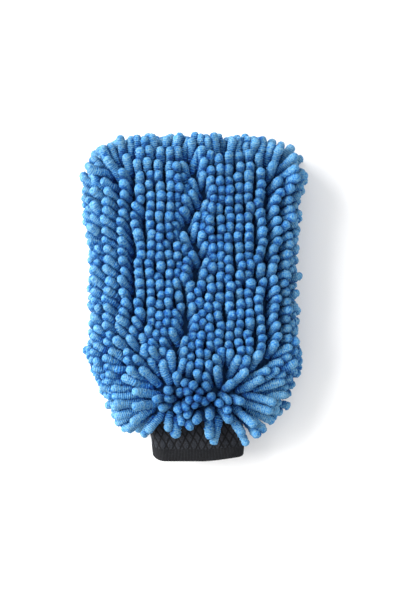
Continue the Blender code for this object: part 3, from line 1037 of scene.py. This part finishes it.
def elastic_material(name, mottling, mid, light):
    """Charcoal elastic: fine ribs, and darker where the weave is sunk."""
    s = Shader(name, 0.75, sheen=0.04, sheen_tint=srgb(170, 180, 195))
    weave = s.wave(s.axis("X"), 0.62 * MM)
    course = s.wave(s.axis("Y"), 0.5 * MM)
    yarns = s.math("ADD", s.math("MULTIPLY", weave, 0.6), s.math("MULTIPLY", course, 0.4))
    speckle = s.math("MULTIPLY_ADD", s.noise(1.3 * MM, detail=3), mottling, -mottling / 2)
    level = s.math("ADD", s.math("MULTIPLY", s.attribute("relief"), 0.85), speckle)
    colour = s.ramp(level, (0.0, srgb(0, 0, 2)), (0.5, srgb(*mid)), (1.0, srgb(*light)))
    return s.finish(colour, yarns, distance=0.2 * MM)


def thread_material():
    s = Shader("thread", 0.7, sheen=0.1)
    colour = s.ramp(s.noise(0.8 * MM), (0.3, srgb(28, 70, 125)), (0.8, srgb(58, 110, 165)))
    return s.finish(colour, s.noise(0.3 * MM, stretch=(1, 1, 4)), distance=0.1 * MM)


# The mitt's pieces


def finish_piece(piece, nodes, material):
    """Gives a piece its material, hides the nodes it stands for, and sets the two bodies it bends between."""
    piece.data.materials.append(material)
    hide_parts(*nodes)
    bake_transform(piece, "back_panel", "front_panel", start=(0, 0, CUFF_BACK_LOW.z), end=(0, 0, CUFF_HIGH.z))


def carry_whole_fingers(piece):
    """A finger keeps its shape when the mouth opens: all of it moves with the cloth at its root."""
    mesh = piece.data
    height = np.zeros(len(mesh.vertices), np.float32)
    mesh.attributes["root_height"].data.foreach_get("value", height)
    share = smoothstep((height - CUFF_BACK_LOW.z) / (CUFF_HIGH.z - CUFF_BACK_LOW.z))
    mesh.attributes["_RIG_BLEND"].data.foreach_set("value", share.astype(np.float32))


def make_pile(material):
    """Grows the fingers of both panels, settles them, and makes one piece for each node of the frame."""
    pile = Pile()
    for side in (FRONT, BACK):
        grow_rows(pile, side)
        grow_edges(pile, side)
        fill_gaps(pile, side)
    pile.close()
    chain = settle(pile, ROUNDS)
    crowd = Crowd(chain)
    for node in sorted(set(pile.piece)):
        chosen = np.flatnonzero(pile.piece == node)
        piece = finger_piece(node + "_fingers", pile, chain, chosen, crowd)
        finish_piece(piece, [node], material)
        carry_whole_fingers(piece)


def make_cloth():
    """Makes the base cloths, linings, cuff, hems and seams."""
    base = knit_material("base_cloth", (52, 104, 160), (26, 62, 108), 1.1 * MM)
    lining = knit_material("lining", (74, 122, 170), (46, 88, 134), 1.4 * MM)
    elastic = elastic_material("cuff_elastic", 1.5, (10, 11, 14), (40, 43, 50))
    ribbed = elastic_material("cuff_hem", 0.9, (8, 9, 12), (38, 40, 46))
    thread = thread_material()
    for side in (FRONT, BACK):
        word = SIDE_NAMES[side]
        cloth = bag_panel(f"{word}_cloth", BASE_OUTLINE, BAG_RADIUS, CLOTH, side, 0.3 * MM)
        finish_piece(cloth, [f"{word}_base_cloth"], base)
        radius = LINING_HIGH.z - MIDDLE_Z
        inner = bag_panel(f"{word}_lining_cloth", LINING_OUTLINE, radius, LINING, side, 0.3 * MM)
        finish_piece(inner, [f"{word}_lining"], lining)
        cuff = cuff_half(f"cuff_{word}_elastic", side)
        finish_piece(cuff, [f"cuff_{word}"], elastic)
        hem = cuff_hem(f"cuff_{word}_hem", side)
        finish_piece(hem, [f"cuff_band_{word}"], ribbed)
        mouth = mouth_allowance(f"mouth_{word}_stitching", side)
        finish_piece(mouth, [f"mouth_seam_{word}"], ribbed)
    finish_piece(seam_allowance("side_seam"), ["perimeter_seam"], base)
    finish_piece(overlock("side_overlock"), ["perimeter_overlock"], thread)
    for word in ("left", "right"):
        piece = cuff_seam(f"cuff_side_seam_{word}_piece")
        finish_piece(piece, [f"cuff_side_seam_{word}"], ribbed)


# Stage


def area_light(name, place, target, size, power):
    data = bpy.data.lights.new(name, "AREA")
    data.shape = "DISK"
    data.size = size
    data.energy = power
    light = bpy.data.objects.new(name, data)
    light.location = place
    light.rotation_euler = (Vector(target) - Vector(place)).to_track_quat("-Z", "Y").to_euler()
    bpy.context.scene.collection.objects.link(light)


def make_floor():
    bpy.ops.mesh.primitive_plane_add(size=24, location=(0, 0, 0))
    floor = bpy.context.object
    floor.name = "floor"
    s = Shader("floor", 0.9)
    s.set("Base Color", (0.93, 0.93, 0.93, 1))
    floor.data.materials.append(s.material)


def make_camera():
    """Straight above the mitt, with the cuff at the bottom of the picture."""
    distance, frame_height, sensor = 1.5, 0.511, 36
    offset_x, offset_y = 4.3 * MM, -2.8 * MM
    data = bpy.data.cameras.new("camera")
    data.sensor_width = sensor
    data.lens = sensor * distance / frame_height
    camera = bpy.data.objects.new("camera", data)
    camera.location = (offset_x, offset_y, MIDDLE_Z + distance)
    bpy.context.scene.collection.objects.link(camera)
    bpy.context.scene.camera = camera


def make_light():
    centre = (0, 0, MIDDLE_Z)
    area_light("key", (-1.5, 0.45, 0.95), centre, 2.0, 88)
    area_light("fill", (0.9, -0.5, 1.4), centre, 1.6, 4)
    world = bpy.data.worlds.new("studio")
    world.use_nodes = True
    background = world.node_tree.nodes["Background"]
    background.inputs["Color"].default_value = (1, 1, 1, 1)
    background.inputs["Strength"].default_value = 0.88
    bpy.context.scene.world = world
    bpy.context.scene.view_settings.view_transform = "Standard"


def main():
    make_pile(chenille_material())
    make_cloth()
    make_floor()
    make_light()
    make_camera()


main()
